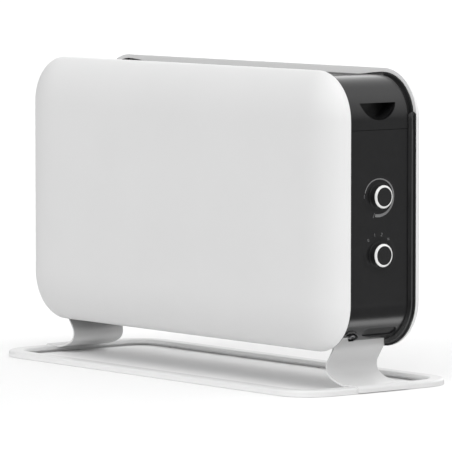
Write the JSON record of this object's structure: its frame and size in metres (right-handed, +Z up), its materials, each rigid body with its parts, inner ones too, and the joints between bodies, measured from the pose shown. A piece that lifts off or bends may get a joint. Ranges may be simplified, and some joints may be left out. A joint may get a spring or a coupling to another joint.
{
  "type": "convector heater",
  "caption": "Free-standing electric convector heater: pillow-shaped steel panels on black end frames, rotary controls, grip recesses, fan, bent blade feet and a floor ring.",
  "frame": {"origin": "on the floor, under the middle of the heater", "axes": "+X along the heater towards the end with the controls, -Y towards the front panel, +Z up"},
  "size_m": [0.7442, 0.295, 0.4563],
  "materials": {
    "panel_paint": "satin",
    "foot_paint": "satin",
    "base_plastic": "satin",
    "frame_plastic": "satin",
    "cover_plastic": "fine grain satin",
    "grille_plastic": "matt",
    "knob_plastic": "satin",
    "ring_plastic": "gloss",
    "switch_plastic": "matt",
    "zinc_steel": "zinc plated",
    "galvanised_sheet": "galvanised",
    "heater_sheath": "dull",
    "fin_aluminium": "mill",
    "bush_ceramic": "matt",
    "motor_laminations": "dull",
    "coil_copper": "enamelled",
    "fan_plastic": "matt",
    "terminal_plastic": "matt",
    "terminal_brass": "bright",
    "gland_plastic": "matt",
    "wire_sleeve": "matt",
    "pad_rubber": "matt"
  },
  "bodies": {
    "heater_body": {"front_panel": "panel_paint", "rear_panel": "panel_paint", "end_frame_right": "frame_plastic", "end_frame_left": "frame_plastic", "side_cover_right": "cover_plastic", "side_cover_left": "cover_plastic", "handle_right": "cover_plastic", "handle_left": "cover_plastic", "top_grille": "grille_plastic", "bottom_grille": "grille_plastic", "thermostat_body": "switch_plastic", "selector_switch": "switch_plastic", "control_screws": "zinc_steel", "cover_screws": "zinc_steel", "panel_screws": "zinc_steel", "foot_screws": "zinc_steel", "base_screws": "zinc_steel", "foot_right": "foot_paint", "foot_left": "foot_paint", "base_ring": "base_plastic", "floor_pads": "pad_rubber", "heat_shield_front": "galvanised_sheet", "heat_shield_rear": "galvanised_sheet", "heating_element": "heater_sheath", "element_fins": "fin_aluminium", "element_brackets": "galvanised_sheet", "element_bushes": "bush_ceramic", "overheat_cutout": "switch_plastic", "fan_bracket": "galvanised_sheet", "fan_motor": "motor_laminations", "motor_coil": "coil_copper", "terminal_block": "terminal_plastic", "terminal_screws": "terminal_brass", "cord_gland": "gland_plastic", "internal_wiring": "wire_sleeve"},
    "thermostat_control": {"thermostat_knob": "knob_plastic", "thermostat_knob_ring": "ring_plastic", "thermostat_shaft": "zinc_steel"},
    "selector_control": {"selector_knob": "knob_plastic", "selector_knob_ring": "ring_plastic", "selector_shaft": "zinc_steel"},
    "fan": {"fan_shaft": "zinc_steel", "fan_wheel": "fan_plastic"}
  },
  "joints": [
    {"name": "thermostat_turn", "type": "hinge", "parent": "heater_body", "child": "thermostat_control", "pos_m": [0.3605, 0, 0.2778], "axis": [-1, 0, 0], "range_deg": [0, 285]},
    {"name": "selector_turn", "type": "hinge", "parent": "heater_body", "child": "selector_control", "pos_m": [0.3605, 0, 0.1945], "axis": [-1, 0, 0], "range_deg": [0, 84]},
    {"name": "fan_spin", "type": "hinge", "parent": "heater_body", "child": "fan", "pos_m": [0, 0, 0.119], "axis": [0, 0, 1], "continuous": true}
  ]
}
